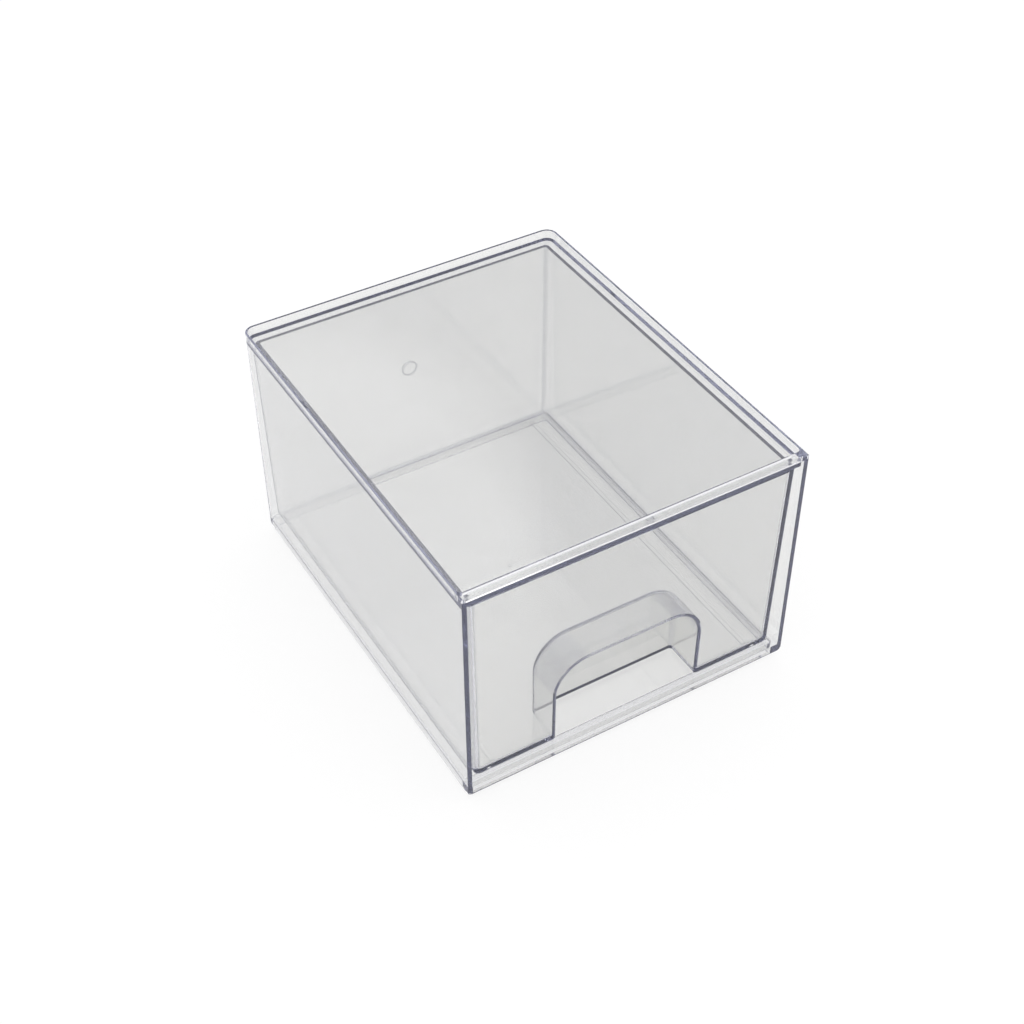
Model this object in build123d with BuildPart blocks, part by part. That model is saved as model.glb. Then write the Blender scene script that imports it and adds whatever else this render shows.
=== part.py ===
from build123d import *
import os

# Stackable drawer box in clear moulded plastic: an outer case, open at the front, and a drawer
# that slides in it.  Millimetres, +Z up.  The origin is the middle of the footprint, on the table.
# The drawer opens towards -Y, and +X is to the right of someone who faces it.

# ---- driving dimensions ------------------------------------------------------------------------
case_width = 240.0            # outside, across the front
case_depth = 295.0            # outside, front edge to back wall
case_height = 175.5           # table to the top of the stacking rim
case_wall = 3.2               # side and back walls
case_top_thickness = 3.2      # recessed top panel and front header
case_floor_thickness = 2.2
case_back_corner_radius = 8.0
case_lower_edge_radius = 3.0  # where the side walls end, above the foot

rim_height = 6.0              # stacking rim, above the top panel
rim_thickness = 1.5           # at the sides and the back
header_depth = 5.6            # flat band over the opening, front to back
header_step_thickness = 3.2   # the wall between the header and the lower panel
recess_front_radius = 3.0     # front corners of the stacking recess

foot_height = 6.0             # ring that drops into the recess of the box below
foot_side_inset = 2.3         # from the outer faces of the sides and the back
foot_front_inset = 5.8        # from the front edge, behind the header of the box below
foot_thickness = 3.2
foot_edge_radius = 1.4
floor_rise = 4.4              # underside of the floor, above the lower edge of the walls

drawer_wall = 2.5
drawer_front_thickness = 3.0
drawer_floor_thickness = 3.0
drawer_side_clearance = 2.8   # drawer to case, each side
drawer_back_clearance = 1.6
drawer_top_clearance = 2.3
drawer_front_setback = 3.4    # top of the drawer front, behind the front edge of the case
drawer_draft = 0.013          # lean of its front, sides and back for each mm of height
drawer_long_edge_radius = 5.0     # bottom edges that run front to back, outside
drawer_long_inner_radius = 3.5    # the same edges inside
drawer_front_edge_radius = 2.0    # round the drawer front
drawer_front_inner_radius = 2.5
drawer_back_edge_radius = 3.0     # round the drawer's back wall, outside
drawer_back_inner_radius = 1.6

runner_height = 0.6           # ribs under the drawer's floor that slide on the case floor
runner_width = 3.0
runner_side_offset = 17.5     # from the drawer's side to the middle of the rib
runner_end_offset = 9.0       # from the drawer's front and back
runner_gap = 0.2              # running gap between the ribs and the case floor
pad_diameter = 4.0            # round pad beside the front end of each rib
pad_side_offset = 13.0
pad_front_offset = 6.5

pocket_width = 106.0          # finger pocket, open below
pocket_depth = 29.0           # behind the top of the drawer front
pocket_ceiling = 76.0         # height of the pocket's ceiling above the table
pocket_corner_radius = 23.0
pocket_wall = 2.6
pocket_back_edge_radius = 4.5
pocket_back_inner_radius = 2.0
pocket_edge_radius = 2.2      # round the opening, in the drawer front and below

mould_disc_diameter = 12.0    # shallow round mark on the back wall of the case
mould_disc_depth = 0.3
mould_disc_height = 97.0
ejector_disc_diameter = 7.0   # faint round mark on the ceiling of the pocket
ejector_disc_depth = 0.2
gate_pip_diameter = 2.6       # where the plastic was let in, on the drawer floor
gate_pip_height = 0.5
gate_pip_offset = 4.0         # behind the middle of the box

# ---- places worked out from them ---------------------------------------------------------------
overlap = 1.0                 # how far a cutting or joining shape runs past a face
flat_tolerance = 0.01         # for picking out edges by where they lie
half_width = case_width / 2
front_y = -case_depth / 2
back_y = case_depth / 2
panel_top = case_height - rim_height
panel_underside = panel_top - case_top_thickness
header_underside = case_height - case_top_thickness
floor_underside = foot_height + floor_rise
floor_top = floor_underside + case_floor_thickness
cavity_half_width = half_width - case_wall
cavity_back_y = back_y - case_wall
cavity_corner_radius = case_back_corner_radius - case_wall

drawer_half_width = cavity_half_width - drawer_side_clearance
drawer_front_y = front_y + drawer_front_setback
drawer_back_y = cavity_back_y - drawer_back_clearance
drawer_bottom = floor_top + runner_gap + runner_height
drawer_top = panel_underside - drawer_top_clearance
drawer_inside_front_y = drawer_front_y + drawer_front_thickness
drawer_inside_back_y = drawer_back_y - drawer_wall
drawer_inside_half_width = drawer_half_width - drawer_wall
drawer_inside_bottom = drawer_bottom + drawer_floor_thickness
drawer_inside_top = drawer_top + overlap


def lean_at(height):
    """How far in from its top edge a face of the drawer lies, at a height above the table."""
    return drawer_draft * (drawer_top - height)



# ---- cutting shapes of the case ----------------------------------------------------------------
with BuildPart() as case_cavity:
    with BuildSketch(Plane.XY.offset(floor_top)):
        with BuildLine():
            Polyline(
                (-cavity_half_width, front_y - overlap),
                (cavity_half_width, front_y - overlap),
                (cavity_half_width, cavity_back_y),
                (-cavity_half_width, cavity_back_y),
                close=True,
            )
        make_face()
        fillet(vertices().group_by(Axis.Y)[-1], cavity_corner_radius)
    extrude(amount=panel_underside - floor_top)
    # the header stands higher than the panel, so the opening is higher than the cavity behind it
    header_inside_y = front_y + header_depth - header_step_thickness
    with BuildSketch(Plane.XY.offset(panel_underside - overlap)):
        with BuildLine():
            Polyline(
                (-cavity_half_width, front_y - overlap),
                (cavity_half_width, front_y - overlap),
                (cavity_half_width, header_inside_y),
                (-cavity_half_width, header_inside_y),
                close=True,
            )
        make_face()
    extrude(amount=header_underside - panel_underside + overlap)

with BuildPart() as stacking_recess:
    recess_half_width = half_width - rim_thickness
    with BuildSketch(Plane.XY.offset(panel_top)):
        with BuildLine():
            Polyline(
                (-recess_half_width, front_y + header_depth),
                (recess_half_width, front_y + header_depth),
                (recess_half_width, back_y - rim_thickness),
                (-recess_half_width, back_y - rim_thickness),
                close=True,
            )
        make_face()
        fillet(vertices().group_by(Axis.Y)[-1], case_back_corner_radius - rim_thickness)
        fillet(vertices().group_by(Axis.Y)[0], recess_front_radius)
    extrude(amount=rim_height + overlap)

with BuildPart() as foot_hollow:
    foot_half_width = half_width - foot_side_inset
    foot_front_y = front_y + foot_front_inset
    foot_back_y = back_y - foot_side_inset
    with BuildSketch(Plane.XY.offset(-overlap)):
        with BuildLine():
            Polyline(
                (-foot_half_width + foot_thickness, foot_front_y + foot_thickness),
                (foot_half_width - foot_thickness, foot_front_y + foot_thickness),
                (foot_half_width - foot_thickness, foot_back_y - foot_thickness),
                (-foot_half_width + foot_thickness, foot_back_y - foot_thickness),
                close=True,
            )
        make_face()
        fillet(vertices().group_by(Axis.Y)[-1], cavity_corner_radius - foot_side_inset)
    extrude(amount=floor_underside + overlap)

# ---- outer case --------------------------------------------------------------------------------
with BuildPart() as outer_case:
    with BuildSketch(Plane.XY.offset(foot_height)):
        with BuildLine():
            Polyline(
                (-half_width, front_y),
                (half_width, front_y),
                (half_width, back_y),
                (-half_width, back_y),
                close=True,
            )
        make_face()
        fillet(vertices().group_by(Axis.Y)[-1], case_back_corner_radius)
    extrude(amount=case_height - foot_height)
    lower_edges = faces().sort_by(Axis.Z)[0].edges().sort_by(Axis.Y)[1:]
    fillet(lower_edges, case_lower_edge_radius)
    # the foot, which drops between the rims of the box below
    with BuildSketch():
        with BuildLine():
            Polyline(
                (-foot_half_width, foot_front_y),
                (foot_half_width, foot_front_y),
                (foot_half_width, foot_back_y),
                (-foot_half_width, foot_back_y),
                close=True,
            )
        make_face()
        fillet(vertices().group_by(Axis.Y)[-1], case_back_corner_radius - foot_side_inset)
        fillet(vertices().group_by(Axis.Y)[0], recess_front_radius)
    foot_block = extrude(amount=foot_height + case_lower_edge_radius)
    fillet(faces().sort_by(Axis.Z)[0].edges(), foot_edge_radius)
    add(case_cavity.part, mode=Mode.SUBTRACT)
    add(stacking_recess.part, mode=Mode.SUBTRACT)
    add(foot_hollow.part, mode=Mode.SUBTRACT)
    # shallow round moulding mark on the back wall
    with BuildSketch(Plane((0, back_y, mould_disc_height), x_dir=(1, 0, 0), z_dir=(0, 1, 0))):
        Circle(mould_disc_diameter / 2)
    extrude(amount=-mould_disc_depth, mode=Mode.SUBTRACT)
outer_case.part.label = "outer_case"

# ---- inside of the drawer ----------------------------------------------------------------------
with BuildPart() as drawer_inside:
    with BuildSketch(Plane.XZ.offset(-drawer_inside_front_y + overlap)):
        with BuildLine():
            Polyline(
                (-drawer_inside_half_width + lean_at(drawer_inside_bottom), drawer_inside_bottom),
                (drawer_inside_half_width - lean_at(drawer_inside_bottom), drawer_inside_bottom),
                (drawer_inside_half_width - lean_at(drawer_inside_top), drawer_inside_top),
                (-drawer_inside_half_width + lean_at(drawer_inside_top), drawer_inside_top),
                close=True,
            )
        make_face()
        fillet(vertices().group_by(Axis.Y)[0], drawer_long_inner_radius)
    extrude(amount=drawer_inside_front_y - drawer_inside_back_y - 2 * overlap)
    # its front and back lean as well
    with BuildSketch(Plane.YZ):
        with BuildLine():
            Polyline(
                (drawer_inside_front_y + lean_at(drawer_inside_bottom), drawer_inside_bottom),
                (drawer_inside_back_y - lean_at(drawer_inside_bottom), drawer_inside_bottom),
                (drawer_inside_back_y - lean_at(drawer_inside_top), drawer_inside_top),
                (drawer_inside_front_y + lean_at(drawer_inside_top), drawer_inside_top),
                close=True,
            )
        make_face()
    extrude(amount=half_width, both=True, mode=Mode.INTERSECT)
    front_loop = faces().sort_by(Axis.Y)[0].edges().sort_by(Axis.Z)[:-1]
    fillet(front_loop, drawer_front_inner_radius)
    back_loop = faces().sort_by(Axis.Y)[-1].edges().sort_by(Axis.Z)[:-1]
    fillet(back_loop, drawer_back_inner_radius)

# ---- finger pocket -----------------------------------------------------------------------------
with BuildPart() as pocket_space:
    with BuildSketch(Plane.XZ.offset(-drawer_front_y + overlap)):
        with BuildLine():
            Polyline(
                (-pocket_width / 2, drawer_bottom - overlap),
                (pocket_width / 2, drawer_bottom - overlap),
                (pocket_width / 2, pocket_ceiling),
                (-pocket_width / 2, pocket_ceiling),
                close=True,
            )
        make_face()
        fillet(vertices().group_by(Axis.Y)[-1], pocket_corner_radius)
    extrude(amount=-(pocket_depth + overlap))
    pocket_back_loop = faces().sort_by(Axis.Y)[-1].edges().sort_by(Axis.Z)[1:]
    fillet(pocket_back_loop, pocket_back_inner_radius)

with BuildPart() as pocket_shell:
    # it starts inside the thickness of the drawer front, at the foot and at the head of the pocket
    pocket_start = (lean_at(drawer_bottom) + lean_at(pocket_ceiling) + drawer_front_thickness) / 2
    with BuildSketch(Plane.XZ.offset(-drawer_front_y - pocket_start)):
        with BuildLine():
            Polyline(
                (-pocket_width / 2 - pocket_wall, drawer_bottom + drawer_floor_thickness / 2),
                (pocket_width / 2 + pocket_wall, drawer_bottom + drawer_floor_thickness / 2),
                (pocket_width / 2 + pocket_wall, pocket_ceiling + pocket_wall),
                (-pocket_width / 2 - pocket_wall, pocket_ceiling + pocket_wall),
                close=True,
            )
        make_face()
        fillet(vertices().group_by(Axis.Y)[-1], pocket_corner_radius + pocket_wall)
    extrude(amount=-(pocket_depth + pocket_wall - pocket_start))
    pocket_back_loop = faces().sort_by(Axis.Y)[-1].edges().sort_by(Axis.Z)[1:]
    fillet(pocket_back_loop, pocket_back_edge_radius)

# ---- drawer ------------------------------------------------------------------------------------
with BuildPart() as drawer:
    with BuildSketch(Plane.XZ.offset(-drawer_front_y + overlap)):
        with BuildLine():
            Polyline(
                (-drawer_half_width + lean_at(drawer_bottom), drawer_bottom),
                (drawer_half_width - lean_at(drawer_bottom), drawer_bottom),
                (drawer_half_width, drawer_top),
                (-drawer_half_width, drawer_top),
                close=True,
            )
        make_face()
        fillet(vertices().group_by(Axis.Y)[0], drawer_long_edge_radius)
    extrude(amount=drawer_front_y - drawer_back_y - 2 * overlap)
    # its front and back lean as well
    with BuildSketch(Plane.YZ):
        with BuildLine():
            Polyline(
                (drawer_front_y + lean_at(drawer_bottom), drawer_bottom),
                (drawer_back_y - lean_at(drawer_bottom), drawer_bottom),
                (drawer_back_y, drawer_top),
                (drawer_front_y, drawer_top),
                close=True,
            )
        make_face()
    extrude(amount=half_width, both=True, mode=Mode.INTERSECT)
    front_loop = faces().sort_by(Axis.Y)[0].edges().sort_by(Axis.Z)[:-1]
    fillet(front_loop, drawer_front_edge_radius)
    back_loop = faces().sort_by(Axis.Y)[-1].edges().sort_by(Axis.Z)[:-1]
    fillet(back_loop, drawer_back_edge_radius)
    add(drawer_inside.part, mode=Mode.SUBTRACT)
    add(pocket_shell.part)
    add(pocket_space.part, mode=Mode.SUBTRACT)
    # the edge of the opening, from the drawer front round to the underside
    opening_edges = edges(Select.LAST).filter_by(
        lambda edge: edge.center().Y < drawer_front_y + pocket_start
        or edge.center().Z < drawer_bottom + flat_tolerance
    )
    fillet(opening_edges, pocket_edge_radius)
    # runner ribs under the floor, with a round pad beside the front end of each
    runner_x = drawer_half_width - runner_side_offset
    runner_length = drawer_back_y - drawer_front_y - 2 * runner_end_offset
    runner_bottom = floor_top + runner_gap
    with BuildSketch(Plane.XY.offset(runner_bottom)):
        with Locations((0, (drawer_front_y + drawer_back_y) / 2)):
            with GridLocations(2 * runner_x, 0, 2, 1):
                Rectangle(runner_width, runner_length)
        with Locations((0, drawer_front_y + pad_front_offset)):
            with GridLocations(2 * (drawer_half_width - pad_side_offset), 0, 2, 1):
                Circle(pad_diameter / 2)
    extrude(amount=runner_height + drawer_floor_thickness / 2)
    # faint round mark on the ceiling of the pocket
    with BuildSketch(Plane.XY.offset(pocket_ceiling)):
        with Locations((0, drawer_front_y + pocket_depth / 2)):
            Circle(ejector_disc_diameter / 2)
    extrude(amount=ejector_disc_depth, mode=Mode.SUBTRACT)
    with BuildSketch(Plane.XY.offset(drawer_inside_bottom)):
        with Locations((0, gate_pip_offset)):
            Circle(gate_pip_diameter / 2)
    extrude(amount=gate_pip_height)
drawer.part.label = "drawer"

os.makedirs("parts", exist_ok=True)
export_step(outer_case.part, "parts/outer_case.step")
export_step(drawer.part, "parts/drawer.step")
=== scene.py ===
"""Looks of the clear stackable drawer box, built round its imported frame.

Metres, +Z up, the drawer opens towards -Y.  The two mouldings keep the shape of their CAD nodes:
each is shown as one welded surface with smooth normals over its rounded edges, in clear plastic
that really bends the light.
"""

import logging
import math
from dataclasses import dataclass, field
from enum import Enum

import bpy
import numpy as np
from mathutils import Euler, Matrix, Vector


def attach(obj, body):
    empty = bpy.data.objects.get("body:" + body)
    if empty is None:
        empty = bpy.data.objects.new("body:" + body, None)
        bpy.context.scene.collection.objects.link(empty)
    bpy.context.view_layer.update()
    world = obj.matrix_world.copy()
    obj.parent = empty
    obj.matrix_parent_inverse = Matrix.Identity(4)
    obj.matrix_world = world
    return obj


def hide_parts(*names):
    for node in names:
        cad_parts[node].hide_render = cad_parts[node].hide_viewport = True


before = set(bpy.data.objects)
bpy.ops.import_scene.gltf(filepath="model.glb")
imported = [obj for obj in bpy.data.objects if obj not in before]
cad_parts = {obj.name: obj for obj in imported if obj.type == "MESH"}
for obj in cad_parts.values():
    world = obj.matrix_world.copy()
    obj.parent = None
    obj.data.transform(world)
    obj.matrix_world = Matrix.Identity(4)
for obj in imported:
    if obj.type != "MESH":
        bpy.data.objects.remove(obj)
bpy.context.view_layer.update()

log = logging.getLogger("drawer_box")

Pair = tuple[float, float]
Triple = tuple[float, float, float]
Colour = Triple
UNIT: Pair = (0.0, 1.0)
ROUNDED = "rounded"  # face attribute: 1 on the rounded edges, 0 on the flat faces
LIGHT_BOUNCES = 24  # enough for light to run along inside a wall and out again
TINY = 1e-20  # keeps the length of a closed-up triangle's normal off zero


class Body(Enum):
    """The bodies of the frame that a piece may ride on."""

    CASE = "case"
    DRAWER = "drawer"


class Slot(Enum):
    """The record's material slots."""

    CLEAR_CASE = "clear_case"
    CLEAR_DRAWER = "clear_drawer"


class Maths(Enum):
    """The sums that a material does with two values."""

    ADD = "ADD"
    MULTIPLY = "MULTIPLY"


# ---- node helpers ------------------------------------------------------------------------------
def new_material(name: str) -> tuple[bpy.types.Material, bpy.types.NodeTree]:
    """An empty node material.

    Args:
        name: The material's name.

    Returns:
        The material and its node tree, with no nodes in it.
    """
    material = bpy.data.materials.new(name)
    material.use_nodes = True
    material.node_tree.nodes.clear()
    return material, material.node_tree


def own_place(tree: bpy.types.NodeTree) -> bpy.types.NodeSocket:
    """The socket with a point's place on its own piece, in metres."""
    return tree.nodes.new("ShaderNodeTexCoord").outputs["Object"]


def remap(
    tree: bpy.types.NodeTree, value: bpy.types.NodeSocket, source: Pair, target: Pair
) -> bpy.types.NodeSocket:
    """A value moved from one range to another, held at the ends.

    Args:
        tree: The node tree that gets the node.
        value: The value's socket.
        source: The range it comes in.
        target: The range it leaves in.

    Returns:
        The new value's socket.
    """
    node = tree.nodes.new("ShaderNodeMapRange")
    node.inputs["From Min"].default_value, node.inputs["From Max"].default_value = source
    node.inputs["To Min"].default_value, node.inputs["To Max"].default_value = target
    tree.links.new(value, node.inputs["Value"])
    return node.outputs["Result"]


def combine(
    tree: bpy.types.NodeTree, how: Maths, a: bpy.types.NodeSocket, b: bpy.types.NodeSocket
) -> bpy.types.NodeSocket:
    """The sum or product of two values.

    Args:
        tree: The node tree that gets the node.
        how: Which of them.
        a: The first value's socket.
        b: The second value's socket.

    Returns:
        The result's socket.
    """
    node = tree.nodes.new("ShaderNodeMath")
    node.operation = how.value
    tree.links.new(a, node.inputs[0])
    tree.links.new(b, node.inputs[1])
    return node.outputs["Value"]


def mix_colour(
    tree: bpy.types.NodeTree,
    share: bpy.types.NodeSocket,
    a: Colour | bpy.types.NodeSocket,
    b: Colour,
) -> bpy.types.NodeSocket:
    """A colour between a and b.

    Args:
        tree: The node tree that gets the node.
        share: 0 for a, 1 for b.
        a: The first colour, or its socket.
        b: The second colour.

    Returns:
        The mixed colour's socket.
    """
    node = tree.nodes.new("ShaderNodeMix")
    node.data_type = "RGBA"
    if isinstance(a, bpy.types.NodeSocket):
        tree.links.new(a, node.inputs["A"])
    else:
        node.inputs["A"].default_value = (*a, 1.0)
    node.inputs["B"].default_value = (*b, 1.0)
    tree.links.new(share, node.inputs["Factor"])
    return node.outputs["Result"]


def mix_shaders(
    tree: bpy.types.NodeTree,
    share: bpy.types.NodeSocket,
    a: bpy.types.NodeSocket,
    b: bpy.types.NodeSocket,
) -> bpy.types.NodeSocket:
    """A surface between a and b.

    Args:
        tree: The node tree that gets the node.
        share: 0 for a, 1 for b.
        a: The first shader's socket.
        b: The second shader's socket.

    Returns:
        The mixed shader's socket.
    """
    node = tree.nodes.new("ShaderNodeMixShader")
    tree.links.new(share, node.inputs["Fac"])
    tree.links.new(a, node.inputs[1])
    tree.links.new(b, node.inputs[2])
    return node.outputs["Shader"]


@dataclass(frozen=True)
class Grain:
    """Fractal noise over a piece's own coordinates.

    scale is in cells to the metre and detail in octaves, shows is the part of the noise's range
    that a pattern is made of, and stretch is how much finer the cells are along X, Y and Z.
    """

    scale: float
    detail: float
    shows: Pair = UNIT
    stretch: Triple = (1.0, 1.0, 1.0)

    def noise(self, tree: bpy.types.NodeTree) -> bpy.types.NodeSocket:
        """The plain noise.

        Args:
            tree: The node tree that gets the nodes.

        Returns:
            The noise value's socket, 0 to 1.
        """
        mapping = tree.nodes.new("ShaderNodeMapping")
        mapping.inputs["Scale"].default_value = self.stretch
        tree.links.new(own_place(tree), mapping.inputs["Vector"])
        texture = tree.nodes.new("ShaderNodeTexNoise")
        texture.inputs["Scale"].default_value = self.scale
        texture.inputs["Detail"].default_value = self.detail
        tree.links.new(mapping.outputs["Vector"], texture.inputs["Vector"])
        return texture.outputs["Fac"]

    def pattern(self, tree: bpy.types.NodeTree, target: Pair = UNIT) -> bpy.types.NodeSocket:
        """The part of the noise that shows, moved to another range.

        Args:
            tree: The node tree that gets the nodes.
            target: The range it leaves in.

        Returns:
            The pattern's socket.
        """
        return remap(tree, self.noise(tree), self.shows, target)


# ---- finishes ----------------------------------------------------------------------------------
@dataclass(frozen=True)
class RingMark:
    """A faint round mark that the mould leaves, on a face across Y, with its centre at x and z."""

    x: float
    z: float
    radius: float = 0.0055
    width: float = 0.0009
    haze_share: float = 0.3

    def amount(self, tree: bpy.types.NodeTree) -> bpy.types.NodeSocket:
        """The haze that the mark adds, where the distance from its centre is about its radius.

        Args:
            tree: The node tree that gets the nodes.

        Returns:
            The share's socket: haze_share on the ring and 0 off it.
        """
        across = tree.nodes.new("ShaderNodeVectorMath")
        across.operation = "MULTIPLY"
        across.inputs[1].default_value = (1.0, 0.0, 1.0)
        tree.links.new(own_place(tree), across.inputs[0])
        reach = tree.nodes.new("ShaderNodeVectorMath")
        reach.operation = "DISTANCE"
        reach.inputs[1].default_value = (self.x, 0.0, self.z)
        tree.links.new(across.outputs["Vector"], reach.inputs[0])
        ring = tree.nodes.new("ShaderNodeMath")
        ring.operation = "COMPARE"
        ring.inputs[1].default_value = self.radius
        ring.inputs[2].default_value = self.width / 2
        tree.links.new(reach.outputs["Value"], ring.inputs[0])
        return remap(tree, ring.outputs["Value"], UNIT, (0.0, self.haze_share))


@dataclass(frozen=True)
class PaintedFloorShade:
    """Painted shade low down in the case: a darker clear colour below the top, in streaks along Y.
    """

    top: float
    blend: float = 0.001
    # the darker clear colour of the painted shade
    colour: Colour = (0.885, 0.8845, 0.868)
    streaks: Grain = Grain(5.0, 3.0, (0.3, 0.7), (30.0, 1.0, 1.0))
    streak_levels: Pair = (0.75, 1.0)

    def amount(self, tree: bpy.types.NodeTree) -> bpy.types.NodeSocket:
        """How much painted shade the surface gets: streaks below the top, and none above it.

        Args:
            tree: The node tree that gets the nodes.

        Returns:
            The share's socket, 0 to 1.
        """
        split = tree.nodes.new("ShaderNodeSeparateXYZ")
        tree.links.new(own_place(tree), split.inputs["Vector"])
        low = remap(tree, split.outputs["Z"], (self.top, self.top + self.blend), (1.0, 0.0))
        return combine(tree, Maths.MULTIPLY, low, self.streaks.pattern(tree, self.streak_levels))


@dataclass(frozen=True)
class ClearPlastic:
    """Glossy clear plastic, with a trace of bluish haze in it and the slow waviness that moulding
    leaves.  The haze and the tint show where light runs a long way inside a wall."""

    name: str
    tint: Colour = (0.42, 0.45, 0.66)
    density: float = 6.0
    clean: Colour = (0.9545, 0.954, 0.9365)
    scuffed: Colour = (0.9415, 0.941, 0.9235)
    scuffs: Grain = Grain(60.0, 4.0, (0.45, 0.75))
    haze: Colour = (0.51, 0.53, 0.8)
    flat_haze_share: float = 0.038
    rounded_haze_share: float = 0.055
    ior: float = 1.59
    roughness: Pair = (0.0, 0.012)
    rubbing: Grain = Grain(20.0, 5.0, (0.5, 0.8))
    waves: Grain = Grain(9.0, 2.0)
    wave_height: float = 0.00002
    ring: RingMark | None = None
    # painted shade low down in the case, where there is any
    floor_shade: PaintedFloorShade | None = None

    def haze_amount(self, tree: bpy.types.NodeTree) -> bpy.types.NodeSocket:
        """How much of the surface is haze: more on rounded edges and on the mould's ring mark.

        Args:
            tree: The node tree that gets the nodes.

        Returns:
            The share's socket, 0 to 1.
        """
        rounded = tree.nodes.new("ShaderNodeAttribute")
        rounded.attribute_name = ROUNDED
        levels = (self.flat_haze_share, self.rounded_haze_share)
        share = remap(tree, rounded.outputs["Fac"], UNIT, levels)
        if self.ring is None:
            return share
        return combine(tree, Maths.ADD, share, self.ring.amount(tree))

    def surface_colour(self, tree: bpy.types.NodeTree) -> bpy.types.NodeSocket:
        """The clear colour, duller in faint scuffs and darker with painted shade low down in the
        case.

        Args:
            tree: The node tree that gets the nodes.

        Returns:
            The colour's socket.
        """
        colour = mix_colour(tree, self.scuffs.pattern(tree), self.clean, self.scuffed)
        if self.floor_shade is None:
            return colour
        # darker with the painted shade low down in the case
        return mix_colour(tree, self.floor_shade.amount(tree), colour, self.floor_shade.colour)

    def gloss(self, tree: bpy.types.NodeTree) -> bpy.types.NodeSocket:
        """The refracting surface itself, with its faint roughness and waviness.

        Args:
            tree: The node tree that gets the nodes.

        Returns:
            The shader's socket.
        """
        shader = tree.nodes.new("ShaderNodeBsdfPrincipled")
        shader.inputs["IOR"].default_value = self.ior
        shader.inputs["Transmission Weight"].default_value = 1.0
        tree.links.new(self.surface_colour(tree), shader.inputs["Base Color"])
        tree.links.new(self.rubbing.pattern(tree, self.roughness), shader.inputs["Roughness"])
        bump = tree.nodes.new("ShaderNodeBump")
        bump.inputs["Strength"].default_value = 1.0
        bump.inputs["Distance"].default_value = self.wave_height
        tree.links.new(self.waves.noise(tree), bump.inputs["Height"])
        tree.links.new(bump.outputs["Normal"], shader.inputs["Normal"])
        return shader.outputs["BSDF"]

    def material(self) -> bpy.types.Material:
        """Builds the plastic.

        Returns:
            The material.
        """
        material, tree = new_material(self.name)
        haze = tree.nodes.new("ShaderNodeBsdfDiffuse")
        haze.inputs["Color"].default_value = (*self.haze, 1.0)
        surface = mix_shaders(
            tree, self.haze_amount(tree), self.gloss(tree), haze.outputs["BSDF"]
        )
        absorb = tree.nodes.new("ShaderNodeVolumeAbsorption")
        absorb.inputs["Color"].default_value = (*self.tint, 1.0)
        absorb.inputs["Density"].default_value = self.density
        output = tree.nodes.new("ShaderNodeOutputMaterial")
        tree.links.new(surface, output.inputs["Surface"])
        tree.links.new(absorb.outputs["Volume"], output.inputs["Volume"])
        return material


@dataclass(frozen=True)
class PaleFloor:
    """White studio table.  Most of its white doesn't depend on the lamps, so that it stays white
    in the picture, in reflections and through the plastic, and the rest takes the shadow."""

    name: str = "pale_floor"
    colour: Colour = (0.95, 0.95, 0.95)
    mottled: Colour = (0.93, 0.93, 0.935)
    mottling: Grain = Grain(3.0, 3.0)
    glow: float = 1.02
    glow_share: float = 0.85

    def seen(self, tree: bpy.types.NodeTree) -> bpy.types.NodeSocket:
        """Whether the floor is looked at, straight or by way of a reflection or clear plastic.

        Args:
            tree: The node tree that gets the nodes.

        Returns:
            The value's socket: 1 where it is, and 0 where it only sends light on.
        """
        path = tree.nodes.new("ShaderNodeLightPath").outputs
        straight_or_mirrored = combine(
            tree, Maths.ADD, path["Is Camera Ray"], path["Is Glossy Ray"]
        )
        return combine(tree, Maths.ADD, straight_or_mirrored, path["Is Transmission Ray"])

    def material(self) -> bpy.types.Material:
        """Builds the floor's finish.

        Returns:
            The material.
        """
        material, tree = new_material(self.name)
        diffuse = tree.nodes.new("ShaderNodeBsdfDiffuse")
        colour = mix_colour(tree, self.mottling.noise(tree), self.colour, self.mottled)
        tree.links.new(colour, diffuse.inputs["Color"])
        glow = tree.nodes.new("ShaderNodeEmission")
        glow.inputs["Strength"].default_value = self.glow
        share = remap(tree, self.seen(tree), UNIT, (0.0, self.glow_share))
        surface = mix_shaders(tree, share, diffuse.outputs["BSDF"], glow.outputs["Emission"])
        output = tree.nodes.new("ShaderNodeOutputMaterial")
        tree.links.new(surface, output.inputs["Surface"])
        return material


# ---- surfaces ----------------------------------------------------------------------------------
def welded(
    points: np.ndarray, triangles: np.ndarray, step: float
) -> tuple[np.ndarray, np.ndarray]:
    """Joins points that lie in the same cell of a fine grid, and drops triangles that close up.

    Args:
        points: (n, 3) corners.
        triangles: (m, 3) indices into them.
        step: The grid's cell, in metres.

    Returns:
        The joined points and the triangles that are left.
    """
    cells = np.round(points / step).astype(np.int64)
    _, first, inverse = np.unique(cells, axis=0, return_index=True, return_inverse=True)
    joined = inverse.reshape(-1)[triangles]
    a, b, c = joined.T
    return points[first], joined[(a != b) & (b != c) & (c != a)]


def unit_rows(vectors: np.ndarray) -> np.ndarray:
    """Each row divided by its length."""
    return vectors / np.maximum(np.linalg.norm(vectors, axis=1, keepdims=True), TINY)


def area_vectors(points: np.ndarray, triangles: np.ndarray) -> np.ndarray:
    """The cross product of two sides of each triangle: its normal, twice its area long.

    Args:
        points: (n, 3) corners.
        triangles: (m, 3) indices into them.

    Returns:
        (m, 3) vectors.
    """
    a, b, c = (points[triangles[:, k]] for k in range(3))
    return np.cross(b - a, c - a)


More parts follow.
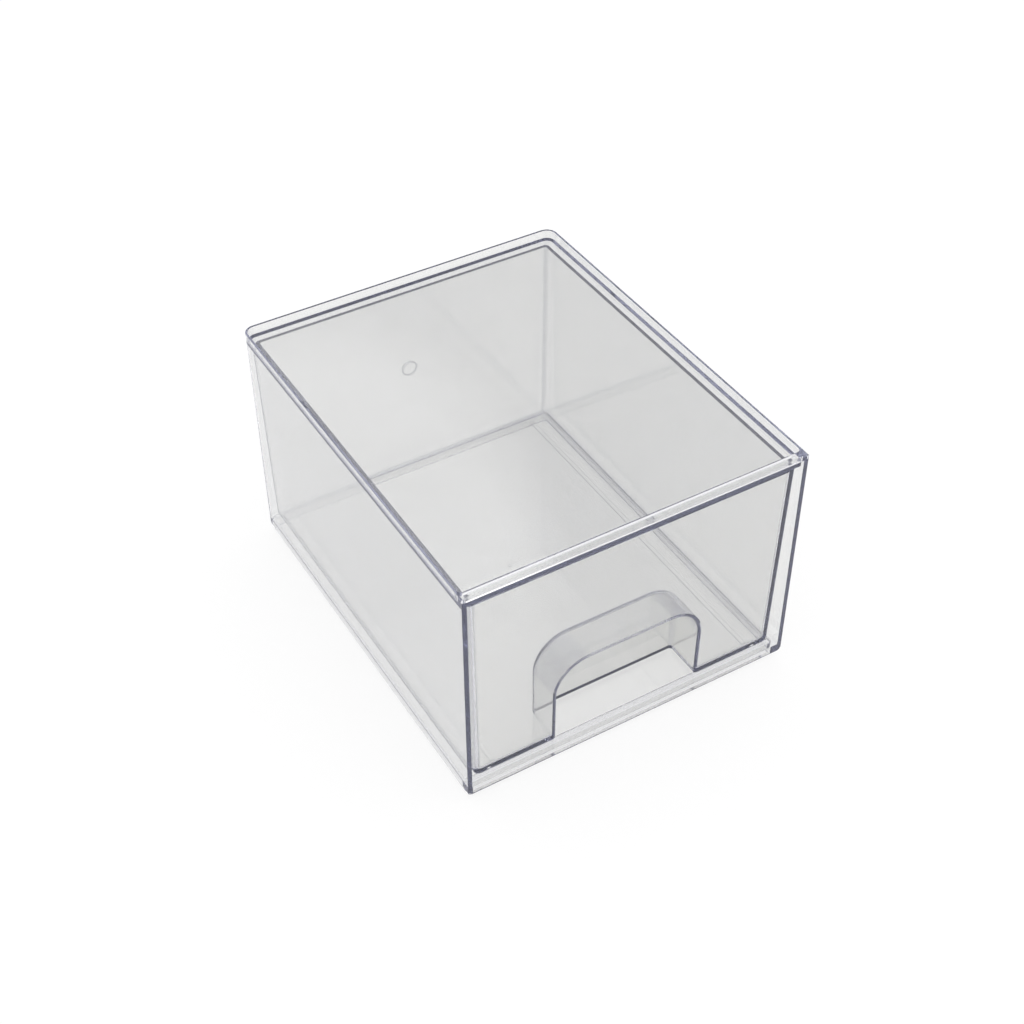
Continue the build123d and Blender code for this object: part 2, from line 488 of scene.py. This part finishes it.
def corner_normals(points: np.ndarray, triangles: np.ndarray, crease: float) -> np.ndarray:
    """Normals that run smoothly over a rounded edge and stay flat on a flat face.

    The normal at a corner of a triangle is the sum of the area vectors of the triangles round
    that point whose own normals differ from this triangle's by less than the crease angle.

    Args:
        points: (n, 3) corners.
        triangles: (m, 3) indices into them.
        crease: The crease angle, in radians.

    Returns:
        (3 m, 3) unit normals, one to a triangle's corner.
    """
    area = area_vectors(points, triangles)
    unit = unit_rows(area)
    corner_point = triangles.reshape(-1)
    corner_face = np.repeat(np.arange(len(triangles)), 3)
    order = np.argsort(corner_point, kind="stable")
    count = np.bincount(corner_point, minlength=len(points))
    start = np.concatenate(([0], np.cumsum(count)[:-1]))
    around = count[corner_point]
    # every pair of a corner and a triangle that touches the same point
    mine = np.repeat(np.arange(len(corner_point)), around)
    step = np.arange(len(mine)) - np.repeat(np.cumsum(around) - around, around)
    other = corner_face[order[start[corner_point[mine]] + step]]
    near = np.einsum("ij,ij->i", unit[corner_face[mine]], unit[other]) > math.cos(crease)
    mine, other = mine[near], other[near]
    total = np.stack(
        [np.bincount(mine, area[other, k], len(corner_point)) for k in range(3)], axis=1
    )
    return unit_rows(total)


def leans(points: np.ndarray, triangles: np.ndarray, most: float) -> np.ndarray:
    """Marks the triangles whose normals are away from all of the main axes.

    Args:
        points: (n, 3) corners.
        triangles: (m, 3) indices into them.
        most: The largest lean off an axis that still counts as flat, in radians.

    Returns:
        (m,) 1 for a leaning triangle and 0 for a flat one.
    """
    unit = unit_rows(area_vectors(points, triangles))
    return (np.abs(unit).max(axis=1) < math.cos(most)).astype(np.float32)


# ---- the two mouldings -------------------------------------------------------------------------
@dataclass
class Moulding:
    """One clear plastic moulding: the shape of its CAD node, as one smooth welded surface."""

    node: str
    body: Body
    slot: Slot
    finish: ClearPlastic
    crease: float = math.radians(28)
    flat_lean: float = math.radians(3)
    weld_step: float = 2e-6
    piece: bpy.types.Object | None = field(default=None, init=False)

    def read_node(self) -> tuple[np.ndarray, np.ndarray]:
        """The CAD node's points and triangles.

        Returns:
            (n, 3) points in metres and (m, 3) indices.
        """
        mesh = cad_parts[self.node].data
        mesh.calc_loop_triangles()
        points = np.zeros(len(mesh.vertices) * 3)
        mesh.vertices.foreach_get("co", points)
        triangles = np.zeros(len(mesh.loop_triangles) * 3, np.int64)
        mesh.loop_triangles.foreach_get("vertices", triangles)
        return points.reshape(-1, 3), triangles.reshape(-1, 3)

    def build_shell(self) -> bpy.types.Mesh:
        """Welds the node's triangles, gives them smooth normals and marks the rounded edges.

        Returns:
            The new mesh.
        """
        points, triangles = welded(*self.read_node(), self.weld_step)
        mesh = bpy.data.meshes.new(self.node + "_shell")
        mesh.from_pydata(points, [], triangles)
        mesh.polygons.foreach_set("use_smooth", np.ones(len(triangles), bool))
        mesh.normals_split_custom_set(corner_normals(points, triangles, self.crease).tolist())
        layer = mesh.attributes.new(ROUNDED, "FLOAT", "FACE")
        layer.data.foreach_set("value", leans(points, triangles, self.flat_lean))
        mesh.update()
        log.info("%s: %d points, %d triangles", self.node, len(points), len(triangles))
        return mesh

    def dress(self) -> bpy.types.Object:
        """Makes the piece, in its finish, in place of the CAD node.

        Returns:
            The piece.
        """
        self.piece = bpy.data.objects.new(self.node + "_shell", self.build_shell())
        bpy.context.scene.collection.objects.link(self.piece)
        self.piece.data.materials.append(self.finish.material())
        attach(self.piece, self.body.value)
        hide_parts(self.node)
        return self.piece


@dataclass
class OuterCase(Moulding):
    """The case: four walls, floor with its stacking foot, recessed top with its rim."""

    node: str = "outer_case"
    body: Body = Body.CASE
    slot: Slot = Slot.CLEAR_CASE
    # the case's floor, below 12.8 mm, gets painted shade
    finish: ClearPlastic = ClearPlastic(
        "clear_case_plastic", ring=RingMark(0.0, 0.097), floor_shade=PaintedFloorShade(0.0128)
    )


@dataclass
class Drawer(Moulding):
    """The open-topped drawer with the finger pocket in its front."""

    node: str = "drawer"
    body: Body = Body.DRAWER
    slot: Slot = Slot.CLEAR_DRAWER
    finish: ClearPlastic = ClearPlastic("clear_drawer_plastic", rounded_haze_share=0.12)


# ---- studio ------------------------------------------------------------------------------------
@dataclass(frozen=True)
class SoftWindow:
    """A round soft window in the sky: angles in degrees, azimuth from +Y towards +X."""

    azimuth: float = 20.0
    height: float = 44.0
    reach: Pair = (7.5, 9.8)  # full light inside the first angle, none outside the second
    level: float = 0.5

    def light(
        self, tree: bpy.types.NodeTree, direction: bpy.types.NodeSocket
    ) -> bpy.types.NodeSocket:
        """The window's light, from the angle between a direction and the window's centre.

        Args:
            tree: The world's node tree.
            direction: The socket with the direction that is looked in.

        Returns:
            The light's socket.
        """
        turn, rise = math.radians(self.azimuth), math.radians(self.height)
        level = math.cos(rise)
        toward = tree.nodes.new("ShaderNodeVectorMath")
        toward.operation = "DOT_PRODUCT"
        toward.inputs[1].default_value = (
            math.sin(turn) * level,
            math.cos(turn) * level,
            math.sin(rise),
        )
        tree.links.new(direction, toward.inputs[0])
        inner, outer = (math.cos(math.radians(angle)) for angle in self.reach)
        return remap(tree, toward.outputs["Value"], (outer, inner), (0.0, self.level))


@dataclass
class Studio:
    """Pale table, plain soft light all round, and the camera."""

    floor_size: float = 12.0
    floor_drop: float = 0.0002
    # the sky's light at heights from straight down, 0, by way of the horizon, 0.5, to overhead, 1
    sky: tuple[Pair, ...] = ((0.0, 0.8), (0.5, 0.8), (0.7, 0.5), (0.85, 1.1), (1.0, 1.8))
    window: SoftWindow = SoftWindow()
    camera_place: Triple = (-0.422579, -0.715529, 0.819500)
    camera_turn: Triple = (48.0006, 0.2612, -30.7749)
    lens: float = 58.4929
    sensor: float = 36.0
    sight: float = 100.0

    def build_floor(self) -> bpy.types.Object:
        """A large flat table just under the foot.

        Returns:
            The floor.
        """
        half = self.floor_size / 2
        corner = np.array([(-half, -half), (half, -half), (half, half), (-half, half)])
        points = np.column_stack((corner, np.full(len(corner), -self.floor_drop)))
        mesh = bpy.data.meshes.new("floor")
        mesh.from_pydata(points, [], [range(len(corner))])
        mesh.materials.append(PaleFloor().material())
        floor = bpy.data.objects.new("floor", mesh)
        bpy.context.scene.collection.objects.link(floor)
        return floor

    def light_world(self) -> bpy.types.World:
        """A soft sky that is brightest overhead, with one soft window.

        Returns:
            The world.
        """
        world = bpy.data.worlds.new("studio")
        world.use_nodes = True
        tree = world.node_tree
        tree.nodes.clear()
        direction = tree.nodes.new("ShaderNodeTexCoord").outputs["Generated"]
        split = tree.nodes.new("ShaderNodeSeparateXYZ")
        tree.links.new(direction, split.inputs["Vector"])
        ramp = tree.nodes.new("ShaderNodeValToRGB")
        tree.links.new(remap(tree, split.outputs["Z"], (-1.0, 1.0), UNIT), ramp.inputs["Fac"])
        stops = ramp.color_ramp.elements
        stops[0].position, stops[-1].position = self.sky[0][0], self.sky[-1][0]
        for position, _ in self.sky[1:-1]:
            stops.new(position)
        for stop, (_, level) in zip(stops, self.sky):
            stop.color = (level, level, level, 1.0)
        window = self.window.light(tree, direction)
        background = tree.nodes.new("ShaderNodeBackground")
        total = combine(tree, Maths.ADD, ramp.outputs["Color"], window)
        tree.links.new(total, background.inputs["Color"])
        output = tree.nodes.new("ShaderNodeOutputWorld")
        tree.links.new(background.outputs["Background"], output.inputs["Surface"])
        bpy.context.scene.world = world
        return world

    def place_camera(self) -> bpy.types.Object:
        """The camera, at the photograph's viewing angle.

        Returns:
            The camera.
        """
        data = bpy.data.cameras.new("camera")
        data.lens = self.lens
        data.sensor_width = self.sensor
        data.clip_end = self.sight
        camera = bpy.data.objects.new("camera", data)
        camera.location = Vector(self.camera_place)
        camera.rotation_euler = Euler([math.radians(angle) for angle in self.camera_turn])
        bpy.context.scene.collection.objects.link(camera)
        bpy.context.scene.camera = camera
        return camera


def main() -> None:
    """Builds the studio and the two mouldings, in order, and reports each."""
    bpy.context.scene.view_settings.view_transform = "Standard"
    cycles = bpy.context.scene.cycles
    cycles.max_bounces = cycles.transmission_bounces = cycles.glossy_bounces = LIGHT_BOUNCES
    studio = Studio()
    studio.place_camera()
    studio.build_floor()
    studio.light_world()
    log.info("studio built")
    for moulding in (OuterCase(), Drawer()):
        piece = moulding.dress()
        log.info("%s rides on %s", piece.name, moulding.body.value)


if __name__ == "__main__":
    logging.basicConfig(level=logging.INFO, format="%(name)s: %(message)s")
    main()
